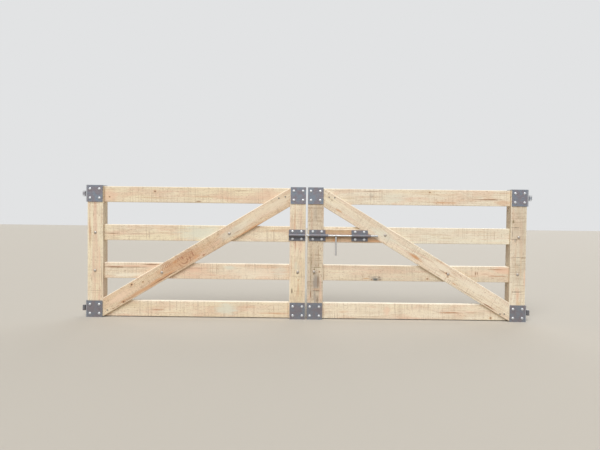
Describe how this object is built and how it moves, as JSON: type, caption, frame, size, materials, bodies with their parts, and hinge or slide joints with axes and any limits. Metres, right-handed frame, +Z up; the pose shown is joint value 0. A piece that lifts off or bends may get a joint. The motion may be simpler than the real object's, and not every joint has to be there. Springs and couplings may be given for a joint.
{
  "type": "pair of timber field gates with a slide bolt",
  "caption": "Pair of ranch-style timber gate leaves with housed rails, diagonal braces, steel corner brackets with hinge eyes, and a slide bolt where they meet.",
  "frame": {"origin": "foot of the left leaf's bottom hinge pin, on the left hinge axis", "axes": "+X from the left hinge axis to the right one, +Y away from the bolt's side, +Z up"},
  "size_m": [4.296, 0.1497, 1.255],
  "materials": {
    "sawn_hardwood": "freshly sawn pale hardwood, unfinished, with saw marks and light arrises",
    "packer_timber": "sawn hardwood, more orange than the rails, unfinished",
    "plate_steel": "bare mill steel plate and tube, grey with a faint blue and purple tint",
    "galvanised_steel": "bright plated round bar, satin"
  },
  "bodies": {
    "hinge_pins": {"left_bottom_hinge_pin": "plate_steel", "left_top_hinge_pin": "plate_steel", "right_bottom_hinge_pin": "plate_steel", "right_top_hinge_pin": "plate_steel"},
    "left_leaf": {"left_bottom_hinge_eye": "plate_steel", "left_brace": "sawn_hardwood", "left_bracket_nuts": "galvanised_steel", "left_meeting_bottom_bracket": "plate_steel", "left_meeting_stile": "sawn_hardwood", "left_meeting_top_bracket": "plate_steel", "left_outer_bottom_bracket": "plate_steel", "left_outer_stile": "sawn_hardwood", "left_outer_top_bracket": "plate_steel", "left_rail_1": "sawn_hardwood", "left_rail_2": "sawn_hardwood", "left_rail_3": "sawn_hardwood", "left_rail_4": "sawn_hardwood", "left_top_hinge_eye": "plate_steel", "bolt_keeper": "plate_steel"},
    "right_leaf": {"right_bottom_hinge_eye": "plate_steel", "right_brace": "sawn_hardwood", "right_bracket_nuts": "galvanised_steel", "right_meeting_bottom_bracket": "plate_steel", "right_meeting_stile": "sawn_hardwood", "right_meeting_top_bracket": "plate_steel", "right_outer_bottom_bracket": "plate_steel", "right_outer_stile": "sawn_hardwood", "right_outer_top_bracket": "plate_steel", "right_rail_1": "sawn_hardwood", "right_rail_2": "sawn_hardwood", "right_rail_3": "sawn_hardwood", "right_rail_4": "sawn_hardwood", "right_top_hinge_eye": "plate_steel", "bolt_barrel_1": "plate_steel", "bolt_barrel_2": "plate_steel", "bolt_packer": "packer_timber"},
    "bolt_rod": {"bolt_rod": "galvanised_steel"},
    "bolt_handle": {"bolt_handle": "galvanised_steel"}
  },
  "joints": [
    {"name": "left_leaf_swing", "type": "hinge", "parent": "hinge_pins", "child": "left_leaf", "pos_m": [0, 0, 0], "axis": [0, 0, 1], "range_deg": [0, 90]},
    {"name": "right_leaf_swing", "type": "hinge", "parent": "hinge_pins", "child": "right_leaf", "pos_m": [4.262, 0, 0], "axis": [0, 0, -1], "range_deg": [0, 90]},
    {"name": "bolt_slide", "type": "slide", "parent": "right_leaf", "child": "bolt_rod", "axis": [1, 0, 0], "range_m": [-0.0605, 0.1345]},
    {"name": "handle_turn", "type": "hinge", "parent": "bolt_rod", "child": "bolt_handle", "pos_m": [2.4075, -0.06945, 0.748], "axis": [-1, 0, 0], "range_deg": [0, 180]}
  ]
}
